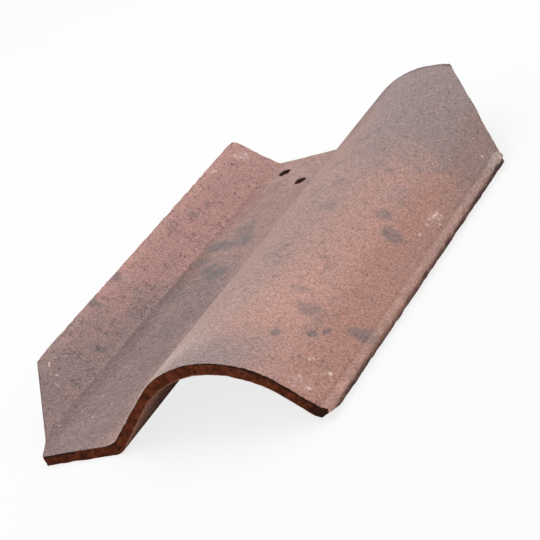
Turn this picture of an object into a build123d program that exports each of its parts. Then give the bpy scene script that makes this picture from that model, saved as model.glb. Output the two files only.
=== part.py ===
from build123d import *
from math import cos, radians, sin, tan
import os

# One-piece clay S roof tile, lying on its underside on a level floor.
# x runs across the tile, y from the tail (lower end on a roof) to the head,
# z up. The floor is z = 0 and the middle of the tile's outline is x = y = 0.

# Clay sheet
tile_length = 457.0
pan_wall = 8.5
flank_wall = 9.2
crown_wall = 10.7
arris_radius = 1.2
under_arris_radius = 0.8

# Top face of the section, from the left edge to the right edge
wing_reach = 36.0
wing_angle = 43.0
valley_radius = 7.0
pan_width = 80.0
foot_radius = 27.0
left_flank_angle = 39.5
crown_radius = 89.0
crown_rise = 54.0
right_flank_angle = 47.1
lip_radius = 3.0
lip_angle = 26.0
lip_width = 9.0

# Underside: a firmer corner where the left flank meets the pan
under_foot_radius = 16.0

# Mitred corners, as lengths along the end and along the side
tail_mitre_across = 46.8
tail_mitre_along = 94.0
head_mitre_across = 68.0
head_mitre_along = 103.0

# Corner roundings seen from above
wing_head_radius = 7.0
wing_mitre_radius = 16.0
lip_tail_radius = 10.0
small_corner_radius = 3.0

# Two nail holes in the pan, measured from the valley line and from the head
nail_hole_radius = 5.0
first_hole_across = 18.0
first_hole_from_head = 26.0
second_hole_across = 48.0
second_hole_from_head = 53.0

# How far the cutting outlines run past the clay
clearance = 20.0

middle_share = 0.5
facing_share = 0.5
wing_slope = radians(wing_angle)
left_slope = radians(left_flank_angle)
right_slope = radians(right_flank_angle)
lip_slope = radians(lip_angle)

# Top face: bend points, with x counted from the left edge
pan_z = pan_wall
valley_x = wing_reach
foot_x = valley_x + pan_width

crown_z = pan_z + crown_rise - crown_radius
flank_end_z = crown_z + crown_radius * cos(left_slope)
crown_x = foot_x + crown_radius * sin(left_slope) + (flank_end_z - pan_z) / tan(left_slope)

# The point above the crown where its two flanks would meet
apex_lean = (right_slope - left_slope) * middle_share
apex_bend = (right_slope + left_slope) * middle_share
apex_x = crown_x + crown_radius * sin(apex_lean) / cos(apex_bend)
apex_z = crown_z + crown_radius * cos(apex_lean) / cos(apex_bend)

# The lip comes down until its lower edge is level with the underside of the pan
lip_end_z = pan_wall * cos(lip_slope)
lip_start_z = lip_end_z + lip_width * sin(lip_slope)
lip_start_x = apex_x + (apex_z - lip_start_z) / tan(right_slope)
tile_width = lip_start_x + lip_width * cos(lip_slope)

# The wing is drawn past the left edge and trimmed upright with the outline
wing_run = wing_reach + clearance
wing_x = valley_x - wing_run
wing_z = pan_z + wing_run * tan(wing_slope)

# Underside: the same bends, one wall lower, with the thickest clay under the crown
under_valley_x = valley_x - pan_wall * tan(wing_slope * middle_share)
under_wing_x = wing_x - pan_wall * sin(wing_slope)
under_wing_z = wing_z - pan_wall * cos(wing_slope)
under_apex_x = apex_x - flank_wall * sin(apex_lean) / cos(apex_bend)
under_apex_z = apex_z - flank_wall * cos(apex_lean) / cos(apex_bend)
under_foot_x = under_apex_x - under_apex_z / tan(left_slope)
under_crown_top_z = pan_z + crown_rise - crown_wall
apex_height_share = cos(apex_lean) / cos(apex_bend) - 1
under_crown_radius = (under_apex_z - under_crown_top_z) / apex_height_share

# Where the right flank turns into the lip on the underside
lip_tip_x = tile_width - pan_wall * sin(lip_slope)
flank_at_floor_x = under_apex_x + under_apex_z / tan(right_slope)
tip_gap = lip_tip_x - flank_at_floor_x
under_lip_z = tip_gap * sin(right_slope) * sin(lip_slope) / sin(right_slope - lip_slope)
under_lip_x = lip_tip_x - under_lip_z / tan(lip_slope)

# The sheet lies with the middle of its outline over the origin
left_x = -tile_width * middle_share
right_x = left_x + tile_width
tail_y = -tile_length * middle_share
head_y = tail_y + tile_length

# The sheet is drawn longer than the tile and trimmed with the outline
sheet_start_y = tail_y - clearance
sheet_length = tile_length + clearance + clearance
section_plane = Plane(origin=(left_x, sheet_start_y, 0), x_dir=(1, 0, 0), z_dir=(0, -1, 0))

# The head mitre runs on past the right edge
outline_right_x = right_x + clearance
mitre_fall = (head_mitre_across + clearance) * head_mitre_along / head_mitre_across

with BuildPart() as tile:
    # The S sheet, from below the tail to above the head
    with BuildSketch(section_plane):
        with BuildLine():
            top = FilletPolyline(
                (wing_x, wing_z),
                (valley_x, pan_z),
                (foot_x, pan_z),
                (apex_x, apex_z),
                (lip_start_x, lip_start_z),
                (tile_width, lip_end_z),
                radius=(valley_radius, foot_radius, crown_radius, lip_radius),
            )
            under = FilletPolyline(
                (under_wing_x, under_wing_z),
                (under_valley_x, 0),
                (under_foot_x, 0),
                (under_apex_x, under_apex_z),
                (under_lip_x, under_lip_z),
                (lip_tip_x, 0),
                radius=(
                    valley_radius + pan_wall,
                    under_foot_radius,
                    under_crown_radius,
                    lip_radius + pan_wall,
                ),
            )
            Line(top @ 0, under @ 0)
            Line(top @ 1, under @ 1)
        make_face()
    extrude(amount=-sheet_length)

    # The outline seen from above, with its two mitred corners
    with BuildSketch(Plane.XY) as outline:
        with BuildLine():
            Polyline(
                (left_x + tail_mitre_across, tail_y),
                (outline_right_x, tail_y),
                (outline_right_x, head_y - mitre_fall),
                (right_x - head_mitre_across, head_y),
                (left_x, head_y),
                (left_x, tail_y + tail_mitre_along),
                close=True,
            )
        make_face()
        wing_mitre_corner = outline.vertices().group_by(Axis.X)[0].sort_by(Axis.Y)[0]
        fillet(wing_mitre_corner, radius=wing_mitre_radius)
        head_left_corner = outline.vertices().group_by(Axis.X)[0].sort_by(Axis.Y)[-1]
        fillet(head_left_corner, radius=wing_head_radius)
        tail_corner = outline.vertices().group_by(Axis.Y)[0].sort_by(Axis.X)[0]
        head_corner = outline.vertices().group_by(Axis.Y)[-1].sort_by(Axis.X)[-1]
        fillet([tail_corner, head_corner], radius=small_corner_radius)
    extrude(amount=wing_z + crown_rise, mode=Mode.INTERSECT)

    # The two corners of the lip
    lip_edge = tile.faces().sort_by(Axis.X)[-1]
    fillet(lip_edge.edges().sort_by(Axis.Y)[0], radius=lip_tail_radius)
    lip_edge = tile.faces().sort_by(Axis.X)[-1]
    fillet(lip_edge.edges().sort_by(Axis.Y)[-1], radius=small_corner_radius)

    # The worn arris all round the top face
    top_edges = tile.faces().filter_by(lambda face: face.normal_at().Z > facing_share).edges()
    rim = [edge for edge in top_edges if sum(edge.is_same(other) for other in top_edges) == 1]
    fillet(rim, radius=arris_radius)

    # The softer arris round the underside, all but the edge the lip stands on
    under_edges = tile.faces().filter_by(lambda face: -face.normal_at().Z > facing_share).edges()
    under_rim = [edge for edge in under_edges if sum(edge.is_same(other) for other in under_edges) == 1]
    lip_stand = ShapeList(under_rim).sort_by(Axis.X)[-1]
    under_rim.remove(lip_stand)
    fillet(under_rim, radius=under_arris_radius)

    # Nail holes, punched straight through the pan
    with BuildSketch(Plane.XY):
        with Locations(
            (left_x + valley_x + first_hole_across, head_y - first_hole_from_head),
            (left_x + valley_x + second_hole_across, head_y - second_hole_from_head),
        ):
            Circle(nail_hole_radius)
    extrude(amount=pan_z + clearance, mode=Mode.SUBTRACT)

roof_tile = tile.part.solid()
roof_tile.label = "roof_tile"

os.makedirs("parts", exist_ok=True)
export_step(roof_tile, "parts/roof_tile.step")
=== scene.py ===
import logging
import math
from dataclasses import dataclass, replace
from enum import Enum
from typing import Any

import bpy
from mathutils import Matrix, Vector


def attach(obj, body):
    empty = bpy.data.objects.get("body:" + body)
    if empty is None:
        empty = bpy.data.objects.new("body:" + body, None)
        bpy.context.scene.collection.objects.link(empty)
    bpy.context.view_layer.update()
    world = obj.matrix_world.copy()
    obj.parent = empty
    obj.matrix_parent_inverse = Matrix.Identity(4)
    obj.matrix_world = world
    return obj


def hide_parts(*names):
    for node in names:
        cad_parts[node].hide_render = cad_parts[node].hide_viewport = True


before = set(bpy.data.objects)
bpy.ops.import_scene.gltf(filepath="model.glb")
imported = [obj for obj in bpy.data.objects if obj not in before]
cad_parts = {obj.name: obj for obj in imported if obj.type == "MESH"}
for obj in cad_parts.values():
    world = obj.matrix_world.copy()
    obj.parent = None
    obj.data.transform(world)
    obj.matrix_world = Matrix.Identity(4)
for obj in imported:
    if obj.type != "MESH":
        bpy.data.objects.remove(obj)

# A clay S roof tile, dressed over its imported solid. x runs across the tile, y from the tail to the head, and
# z up from the floor. Names that end in _mm hold millimetres, and other lengths are in metres. The clay is
# modelled as an unrolled sheet: s is the distance from the left edge along the top face, and y the distance
# from the tail.

LOG = logging.getLogger("roof_tile")
MM = 0.001
NOISE_MIDDLE = 0.5
BODY = "root"
NODE = "roof_tile"

Socket = bpy.types.NodeSocket
Colour = tuple[float, float, float]
Point = tuple[float, float]
Triple = tuple[float, float, float]


class SocketKind(Enum):
    """Kinds of named input on a shape tree."""

    LENGTH = "NodeSocketFloat"
    FINISH = "NodeSocketMaterial"


@dataclass(frozen=True)
class Step:
    """A smooth step from one place to another, higher or lower, with its level at each of them."""

    begin: float
    finish: float
    level: float = 0.0
    next_level: Any = 1.0

    def in_metres(self) -> "Step":
        """The same step, for places in metres instead of millimetres."""
        return replace(self, begin=self.begin * MM, finish=self.finish * MM)


@dataclass(frozen=True)
class Grain:
    """A noise around its middle.

    It has its waves in a metre, its octaves, how strong the fine octaves are, how much it bends itself, and
    how the place that it reads is shifted and then stretched.
    """

    scale: float
    detail: float = 2.0
    rough: float = 0.5
    warp: float = 0.0
    shift: Triple | None = None
    stretch: Triple | None = None


@dataclass(frozen=True)
class Swing:
    """A noise around zero: its waves in a metre, the factor on its swing, its octaves, and its shift."""

    scale: float
    reach: float
    detail: float = 2.0
    shift: Triple | None = None


@dataclass(frozen=True)
class Patchy:
    """Patches where a noise is high: the noise, and the step that cuts it."""

    grain: Grain
    cut: Step


class Field:
    """A number, vector or shape that a tree works out. The arithmetic is for numbers."""

    def __init__(self, tree: "Tree", socket: Socket) -> None:
        """Takes an output of a tree's node."""
        self.tree, self.socket = tree, socket

    def __add__(self, other: Any) -> "Field":
        """The sum with a number or a field."""
        return self.tree.math("ADD", self, other)

    def __sub__(self, other: Any) -> "Field":
        """The difference from a number or a field."""
        return self.tree.math("SUBTRACT", self, other)

    def __rsub__(self, other: Any) -> "Field":
        """A number less this field."""
        return self.tree.math("SUBTRACT", other, self)

    def __mul__(self, other: Any) -> "Field":
        """The product with a number or a field."""
        return self.tree.math("MULTIPLY", self, other)

    def __truediv__(self, other: Any) -> "Field":
        """The quotient by a number or a field."""
        return self.tree.math("DIVIDE", self, other)

    def __neg__(self) -> "Field":
        """The field with its sign changed."""
        return self * -1.0

    __radd__ = __add__
    __rmul__ = __mul__

    def size(self) -> "Field":
        """The number without its sign."""
        return self.tree.math("ABSOLUTE", self)

    def root(self) -> "Field":
        """The square root."""
        return self.tree.math("SQRT", self)

    def at_least(self, other: Any) -> "Field":
        """The larger of this and another number."""
        return self.tree.math("MAXIMUM", self, other)

    def at_most(self, other: Any) -> "Field":
        """The smaller of this and another number."""
        return self.tree.math("MINIMUM", self, other)

    def above(self, other: Any) -> "Field":
        """1 where this is the larger number, and 0 elsewhere."""
        return self.tree.math("GREATER_THAN", self, other)

    def below(self, other: Any) -> "Field":
        """1 where this is the smaller number, and 0 elsewhere."""
        return self.tree.math("LESS_THAN", self, other)

    def step(self, step: Step, kind: str = "SMOOTHSTEP") -> "Field":
        """Goes from one level to another, and stays level before and after.

        Args:
            step: the two places and levels.
            kind: how it goes from level to level.

        Returns:
            The level.
        """
        low, high, first, last = step.begin, step.finish, step.level, step.next_level
        if low > high:
            low, high, first, last = high, low, last, first
        inputs = {0: self, 1: low, 2: high, 3: first, 4: last}
        return self.tree.out("ShaderNodeMapRange", inputs, interpolation_type=kind)


class Tree:
    """A node tree with short calls for adding and linking nodes."""

    def __init__(self, tree: bpy.types.NodeTree) -> None:
        """Takes over a shader or geometry tree."""
        self.tree = tree

    def add(self, kind: str, inputs: dict[Any, Any] | None = None, **settings: Any) -> bpy.types.Node:
        """Adds a node, sets its properties, and sets or links its inputs.

        Args:
            kind: the node's type name.
            inputs: input name or number to a value or a field.
            settings: the node's own properties.

        Returns:
            The new node.
        """
        node = self.tree.nodes.new(kind)
        for name, value in settings.items():
            setattr(node, name, value)
        for name, value in (inputs or {}).items():
            self.feed(node.inputs[name], value)
        return node

    def out(self, kind: str, inputs: dict[Any, Any] | None = None, output: Any = 0, **settings: Any) -> Field:
        """Adds a node and gives one of its outputs.

        Args:
            kind: the node's type name.
            inputs: input name or number to a value or a field.
            output: the output's name or number.
            settings: the node's own properties.

        Returns:
            The output.
        """
        return Field(self, self.add(kind, inputs, **settings).outputs[output])

    def feed(self, socket: Socket, value: Any) -> None:
        """Links a socket to a field, or gives it a plain value.

        Args:
            socket: the input socket.
            value: a field, a number, a vector or a colour.
        """
        if isinstance(value, Field):
            self.tree.links.new(value.socket, socket)
        elif socket.type == "RGBA":
            socket.default_value = (*value, 1.0)
        else:
            socket.default_value = value

    def math(self, operation: str, *values: Any) -> Field:
        """A Math node on one, two or three numbers."""
        return self.out("ShaderNodeMath", dict(enumerate(values)), operation=operation)

    def blend(self, share: Any, first: Any, second: Any) -> Field:
        """A number that goes from the first to the second by a share."""
        return self.math("MULTIPLY_ADD", self.math("SUBTRACT", second, first), share, first)

    def vector(self, operation: str, a: Any, b: Any = None) -> Field:
        """A Vector Math node.

        Args:
            operation: the node's operation.
            a: first vector.
            b: second vector where there is one, or the number that a SCALE takes.

        Returns:
            The number for a distance, length or dot product, and the vector otherwise.
        """
        inputs = {0: a}
        if b is not None:
            inputs["Scale" if operation == "SCALE" else 1] = b
        number = operation in ("DISTANCE", "LENGTH", "DOT_PRODUCT")
        return self.out("ShaderNodeVectorMath", inputs, "Value" if number else "Vector", operation=operation)

    def split(self, vector: Field) -> tuple[Field, Field, Field]:
        """The three numbers of a vector."""
        return tuple(Field(self, end) for end in self.add("ShaderNodeSeparateXYZ", {0: vector}).outputs)

    def join(self, x: Any, y: Any, z: Any = 0.0) -> Field:
        """A vector of three numbers."""
        return self.out("ShaderNodeCombineXYZ", {0: x, 1: y, 2: z})

    def noise(self, place: Field, grain: Grain) -> Field:
        """Reads a noise at a place.

        Args:
            place: the place.
            grain: the noise.

        Returns:
            The noise, around its middle.
        """
        if grain.shift:
            place = self.vector("ADD", place, grain.shift)
        if grain.stretch:
            place = self.vector("MULTIPLY", place, grain.stretch)
        return self.out("ShaderNodeTexNoise", {
            "Vector": place, "Scale": grain.scale, "Detail": grain.detail, "Roughness": grain.rough,
            "Distortion": grain.warp})

    def ripple(self, place: Field, grain: Grain) -> Field:
        """A noise less its middle, read at a place."""
        return self.noise(place, grain) - NOISE_MIDDLE

    def swing(self, place: Field, swing: Swing) -> Field:
        """A noise around zero with its own reach, read at a place."""
        return self.ripple(place, Grain(swing.scale, swing.detail, shift=swing.shift)) * swing.reach

    def patchy(self, place: Field, patchy: Patchy) -> Field:
        """Patches of a noise, read at a place."""
        return self.noise(place, patchy.grain).step(patchy.cut)

    def mix(self, share: Any, first: Any, second: Any) -> Field:
        """The second colour laid over the first by a share."""
        return self.out("ShaderNodeMix", {0: share, 6: first, 7: second}, 2, data_type="RGBA")

    def shade(self, colour: Any, tone: Any) -> Field:
        """A colour made lighter or darker by a factor."""
        return self.vector("SCALE", colour, tone)


class ShapeTree(Tree):
    """A geometry node tree with named sizes."""

    def __init__(self, name: str) -> None:
        """Starts an empty tree.

        Args:
            name: the tree's name.
        """
        super().__init__(bpy.data.node_groups.new(name, "GeometryNodeTree"))
        for way in ("INPUT", "OUTPUT"):
            self.tree.interface.new_socket("Geometry", in_out=way, socket_type="NodeSocketGeometry")
        self.entry = self.tree.nodes.new("NodeGroupInput")
        self.exit = self.tree.nodes.new("NodeGroupOutput")
        self.settings: dict[str, Any] = {}

    def size(self, name: str, value: Any, kind: SocketKind = SocketKind.LENGTH) -> Field:
        """Adds a named input.

        Args:
            name: what the input is for.
            value: the value that the modifier gives it.
            kind: the kind of input.

        Returns:
            The input, for use inside the tree.
        """
        entry = self.tree.interface.new_socket(name, in_out="INPUT", socket_type=kind.value)
        self.settings[entry.identifier] = value
        return Field(self, self.entry.outputs[name])

    def size_mm(self, name: str, value_mm: float) -> Field:
        """Adds a named length, given in millimetres."""
        return self.size(name, value_mm * MM)

    def place(self) -> Field:
        """Where each point lies."""
        return self.out("GeometryNodeInputPosition")

    def kept(self, name: str, kind: str) -> Field:
        """A value that was kept on every point, by its name and type."""
        return self.out("GeometryNodeInputNamedAttribute", {"Name": name}, data_type=kind)

    def keep(self, shape: Field, name: str, kind: str, value: Field) -> Field:
        """The shape with a value kept on every point, by its name and type."""
        inputs = {"Geometry": shape, "Name": name, "Value": value}
        return self.out("GeometryNodeStoreNamedAttribute", inputs, data_type=kind)

    def move(self, shape: Field, **how: Field) -> Field:
        """The shape with its points at a new Position, or moved by an Offset."""
        return self.out("GeometryNodeSetPosition", {"Geometry": shape, **how})

    def close(self, shape: Field, finish: bpy.types.Material) -> None:
        """Ends the tree in real geometry with a finish.

        Args:
            shape: the geometry so far.
            finish: the material that it gets.
        """
        real = self.out("GeometryNodeRealizeInstances", {"Geometry": shape})
        paint = self.size("Finish", finish, SocketKind.FINISH)
        painted = self.out("GeometryNodeSetMaterial", {"Geometry": real, "Material": paint})
        self.feed(self.exit.inputs[0], painted)

    def run(self, base: bpy.types.Mesh, name: str) -> bpy.types.Object:
        """Runs the tree on a mesh and keeps the result as a plain mesh.

        Args:
            base: the mesh that the tree starts from.
            name: the finished object's name.

        Returns:
            The finished object, with no modifier on it.
        """
        piece = bpy.data.objects.new(name, base)
        bpy.context.scene.collection.objects.link(piece)
        modifier = piece.modifiers.new(self.tree.name, "NODES")
        modifier.node_group = self.tree
        for identifier, value in self.settings.items():
            modifier[identifier] = value
        graph = bpy.context.evaluated_depsgraph_get()
        mesh = bpy.data.meshes.new_from_object(
            piece.evaluated_get(graph), preserve_all_data_layers=True, depsgraph=graph)
        piece.modifiers.clear()
        piece.data = mesh
        mesh.name = name
        bpy.data.meshes.remove(base)
        bpy.data.node_groups.remove(self.tree)
        return piece


@dataclass(frozen=True)
class Corner:
    """A bend of the section: where its two straight runs would meet, and its radius."""

    x_mm: float
    z_mm: float
    radius_mm: float = 0.0


@dataclass(frozen=True)
class Run:
    """One straight run or one arc of the section."""

    start: Point
    end: Point
    centre: Point | None = None

    def _turn(self) -> tuple[float, float, float]:
        """Radius, first angle and signed turn of the arc."""
        first = math.atan2(self.start[1] - self.centre[1], self.start[0] - self.centre[0])
        last = math.atan2(self.end[1] - self.centre[1], self.end[0] - self.centre[0])
        turn = (last - first + math.pi) % (2 * math.pi) - math.pi
        return math.dist(self.start, self.centre), first, turn

    def at(self, share: float) -> Point:
        """A point of the run.

        Args:
            share: how far along, from 0 to 1.

        Returns:
            x and z in millimetres.
        """
        if self.centre is None:
            return tuple(a + (b - a) * share for a, b in zip(self.start, self.end))
        radius, first, turn = self._turn()
        angle = first + turn * share
        return self.centre[0] + radius * math.cos(angle), self.centre[1] + radius * math.sin(angle)


def bent_line(corners: list[Corner]) -> list[Run]:
    """Rounds the corners of a line.

    Args:
        corners: the two ends and the bends between them, in order.

    Returns:
        Straight runs and arcs by turns, the first and last straight.
    """
    runs: list[Run] = []
    here = (corners[0].x_mm, corners[0].z_mm)
    for before, bend, after in zip(corners, corners[1:], corners[2:]):
        a, b, c = (Vector((k.x_mm, k.z_mm)) for k in (before, bend, after))
        u, v = (a - b).normalized(), (c - b).normalized()
        half = u.angle(v) / 2
        reach = bend.radius_mm / math.tan(half)
        centre = b + (u + v).normalized() * bend.radius_mm / math.sin(half)
        start, end = tuple(b + u * reach), tuple(b + v * reach)
        runs += [Run(here, start), Run(start, end, tuple(centre))]
        here = end
    runs.append(Run(here, (corners[-1].x_mm, corners[-1].z_mm)))
    return runs


@dataclass(frozen=True)
class Section:
    """The S section of the clay, with the left edge at x = 0 and the floor at z = 0."""

    pan_wall_mm: float = 8.5
    flank_wall_mm: float = 9.2
    crown_wall_mm: float = 10.7
    wing_reach_mm: float = 36.0
    wing_angle: float = 43.0
    valley_radius_mm: float = 7.0
    pan_width_mm: float = 80.0
    foot_radius_mm: float = 27.0
    left_flank_angle: float = 39.5
    crown_radius_mm: float = 89.0
    crown_rise_mm: float = 54.0
    right_flank_angle: float = 47.1
    lip_radius_mm: float = 3.0
    lip_angle: float = 26.0
    lip_width_mm: float = 9.0
    under_foot_radius_mm: float = 16.0
    points_in_arc: int = 28

    def lines(self) -> tuple[list[Run], list[Run]]:
        """The top face and the underside.

        Returns:
            Two lists of runs that pair up one to one, from the left edge to the right edge.
        """
        wing, left = math.radians(self.wing_angle), math.radians(self.left_flank_angle)
        right, lip = math.radians(self.right_flank_angle), math.radians(self.lip_angle)
        wall, radius = self.pan_wall_mm, self.crown_radius_mm
        foot_x = self.wing_reach_mm + self.pan_width_mm
        crown_z = wall + self.crown_rise_mm - radius
        rise = crown_z + radius * math.cos(left) - wall
        crown_x = foot_x + radius * math.sin(left) + rise / math.tan(left)
        lean, bend = (right - left) / 2, (right + left) / 2
        apex_x = crown_x + radius * math.sin(lean) / math.cos(bend)
        apex_z = crown_z + radius * math.cos(lean) / math.cos(bend)
        end_z = wall * math.cos(lip)
        start_z = end_z + self.lip_width_mm * math.sin(lip)
        start_x = apex_x + (apex_z - start_z) / math.tan(right)
        end_x = start_x + self.lip_width_mm * math.cos(lip)
        top = [
            Corner(0.0, wall + self.wing_reach_mm * math.tan(wing)),
            Corner(self.wing_reach_mm, wall, self.valley_radius_mm),
            Corner(foot_x, wall, self.foot_radius_mm),
            Corner(apex_x, apex_z, radius),
            Corner(start_x, start_z, self.lip_radius_mm),
            Corner(end_x, end_z),
        ]
        low_valley_x = self.wing_reach_mm - wall * math.tan(wing / 2)
        low_apex_x = apex_x - self.flank_wall_mm * math.sin(lean) / math.cos(bend)
        low_apex_z = apex_z - self.flank_wall_mm * math.cos(lean) / math.cos(bend)
        low_top_z = wall + self.crown_rise_mm - self.crown_wall_mm
        low_radius = (low_apex_z - low_top_z) / (math.cos(lean) / math.cos(bend) - 1)
        tip_x = end_x - wall * math.sin(lip)
        gap = tip_x - low_apex_x - low_apex_z / math.tan(right)
        low_lip_z = gap * math.sin(right) * math.sin(lip) / math.sin(right - lip)
        under = [
            Corner(0.0, low_valley_x * math.tan(wing)),
            Corner(low_valley_x, 0.0, self.valley_radius_mm + wall),
            Corner(low_apex_x - low_apex_z / math.tan(left), 0.0, self.under_foot_radius_mm),
            Corner(low_apex_x, low_apex_z, low_radius),
            Corner(tip_x - low_lip_z / math.tan(lip), low_lip_z, self.lip_radius_mm + wall),
            Corner(tip_x, 0.0),
        ]
        return bent_line(top), bent_line(under)

    def pairs(self) -> list[tuple[Point, Point]]:
        """Points of the top face, each with its point of the underside, in millimetres."""
        pairs: list[tuple[Point, Point]] = []
        for upper, lower in zip(*self.lines()):
            count = 1 if upper.centre is None else self.points_in_arc
            pairs += [(upper.at(k / count), lower.at(k / count)) for k in range(count)]
        return pairs + [(upper.end, lower.end)]

    def width(self) -> float:
        """Width of the tile, in millimetres."""
        return self.lines()[0][-1].end[0]

    def sheet_width(self) -> float:
        """Width of the unrolled top face, in millimetres."""
        tops = [top for top, _ in self.pairs()]
        return sum(math.dist(a, b) for a, b in zip(tops, tops[1:]))

    def sheet_place(self, x_mm: float) -> float:
        """Where a place across the tile lies on the unrolled sheet.

        Args:
            x_mm: distance from the left edge, seen from above.

        Returns:
            Distance from the left edge along the top face.
        """
        gone = 0.0
        tops = [top for top, _ in self.pairs()]
        for a, b in zip(tops, tops[1:]):
            if b[0] >= x_mm:
                return gone + math.dist(a, b) * (x_mm - a[0]) / (b[0] - a[0])
            gone += math.dist(a, b)
        return gone


@dataclass(frozen=True)
class Outline:
    """The tile seen from above: its length, its two mitred corners and its rounded corners."""

    length_mm: float = 457.0
    tail_mitre_mm: Point = (46.8, 94.0)
    head_mitre_mm: Point = (68.0, 103.0)
    wing_head_radius_mm: float = 7.0
    wing_mitre_radius_mm: float = 16.0
    lip_tail_radius_mm: float = 3.0
    small_corner_mm: float = 3.0

    def ends(self, tree: ShapeTree, x: Field, width: float) -> tuple[Field, Field]:
        """Where the clay starts at the tail and stops at the head.

        Args:
            tree: the tree to build in.
            x: place across, from the left edge.
            width: the tile's width.

        Returns:
            Both places along, from the tail line.
        """
        soft = tree.size_mm("Small corner", self.small_corner_mm)
        inset = width - x
        across = tree.size_mm("Tail mitre across", self.tail_mitre_mm[0])
        along = tree.size_mm("Tail mitre along", self.tail_mitre_mm[1])
        radius = tree.size_mm("Wing mitre radius", self.wing_mitre_radius_mm)
        slant = (across * across + along * along).root()
        centre = along + radius * (slant - along) / across
        near = (x - radius).at_most(0.0)
        arc = centre - (radius * radius - near * near).at_least(0.0).root()
        touch = radius - radius * along / slant
        mitre = tree.blend(x.below(touch), along * (1.0 - x / across), arc)
        lip_corner = self._drawn_back(inset, tree.size_mm("Lip corner radius", self.lip_tail_radius_mm))
        tail = tree.math("SMOOTH_MAX", mitre, 0.0, soft).at_least(lip_corner)

        across = tree.size_mm("Head mitre across", self.head_mitre_mm[0])
        along = tree.size_mm("Head mitre along", self.head_mitre_mm[1])
        wing_corner = self._drawn_back(x, tree.size_mm("Wing corner radius", self.wing_head_radius_mm))
        gone = tree.math("SMOOTH_MAX", along * (1.0 - inset / across), 0.0, soft).at_least(wing_corner)
        return tail, tree.size_mm("Length", self.length_mm) - gone

    @staticmethod
    def _drawn_back(inset: Field, radius: Field) -> Field:
        """How far a corner's radius draws the end back, at an inset from the side edge."""
        near = (radius - inset).at_least(0.0).at_most(radius)
        return radius - (radius * radius - near * near).root()


@dataclass(frozen=True)
class Wear:
    """The clay's relief, cut inwards from the true shape, and the crust and broken corner at the lip.

    The crust fills the relief up at the lip's head end. Steps down an edge count from its top arris, and
    heights from its lower arris.
    """

    warp_mm: float = 0.35
    warp: Grain = Grain(11.0)
    drag_mm: float = 0.22
    drag: Grain = Grain(55.0, 3.0, stretch=(1.0, 0.16, 1.0))
    sand_mm: float = 0.14
    sand: Grain = Grain(190.0, 3.0, 0.65)
    relief_height_mm: Step = Step(-1.0, 1.0, 0.2, 1.0)
    edge_reach_mm: float = 2.6
    chip_mm: float = 1.1
    chips: Patchy = Patchy(Grain(120.0, 4.0, 0.6), Step(0.44, 0.66))
    chips_along_mm: Step = Step(60.0, 420.0, 0.8, 1.7)
    wander_mm: float = 0.8
    wander: Patchy = Patchy(Grain(42.0, shift=(8.0, 0.0, 0.0)), Step(0.4, 0.7))
    wander_down_mm: Step = Step(0.6, -0.6)
    wander_height_mm: Step = Step(-2.0, 1.0)
    lower_edge_mm: float = 0.6
    lower_edge: Patchy = Patchy(Grain(95.0, 3.0, 0.6), Step(0.4, 0.66))
    cut_mm: float = 0.7
    cut: Grain = Grain(170.0, 4.0, 0.65)
    cut_down_mm: Step = Step(0.2, -0.8)
    cut_height_mm: Step = Step(-0.2, 0.8)
    crust_mm: float = 1.8
    crust: Grain = Grain(190.0, 3.0, 0.6)
    crust_fill: float = 0.35
    crust_at_mm: Point = (350.5, 354.0)
    crust_off_mm: Step = Step(9.0, 2.0)
    crust_down_mm: Step = Step(-1.0, 0.8)
    corner_at_mm: Triple = (301.5, 0.0, 5.3)
    corner_out: Triple = (0.363, -0.244, -0.899)
    corner_rough: Swing = Swing(240.0, 0.6 * MM)


@dataclass(frozen=True)
class Mark:
    """A mark at a place of the unrolled sheet.

    It has its distance from the left edge and from the tail, its half sizes, its strength, and how far it
    leans across for each millimetre along.
    """

    across_mm: float
    along_mm: float
    half_across_mm: float
    half_along_mm: float
    strength: float = 1.0
    lean: float = 0.0


@dataclass(frozen=True)
class MarkGroup:
    """Marks of one kind, with the shares of a mark's size where it has faded out and where it is full."""

    marks: tuple[Mark, ...]
    outer: float
    inner: float

    def cover(self, tree: Tree, sheet: Field) -> Field:
        """Where any of the marks lies.

        Args:
            tree: the tree to build in.
            sheet: the place on the unrolled sheet, in millimetres.

        Returns:
            The strength of the strongest mark at a place.
        """
        found: Any = 0.0
        for mark in self.marks:
            off = tree.vector("SUBTRACT", sheet, (mark.across_mm, mark.along_mm, 0.0))
            if mark.lean:
                off = tree.vector("ADD", off, tree.join(tree.split(off)[1] * -mark.lean, 0.0))
            share = tree.vector("MULTIPLY", off, (1 / mark.half_across_mm, 1 / mark.half_along_mm, 0.0))
            near = tree.vector("LENGTH", share).step(Step(self.outer, self.inner, 0.0, mark.strength))
            found = near.at_least(found)
        return found


@dataclass(frozen=True)
class Arris:
    """A softer arris along one edge: its top and lower radius, and the steps that bound it."""

    name: str
    radii_mm: Point
    across_mm: Step
    along_mm: Step
    from_lip: bool = False


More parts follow.
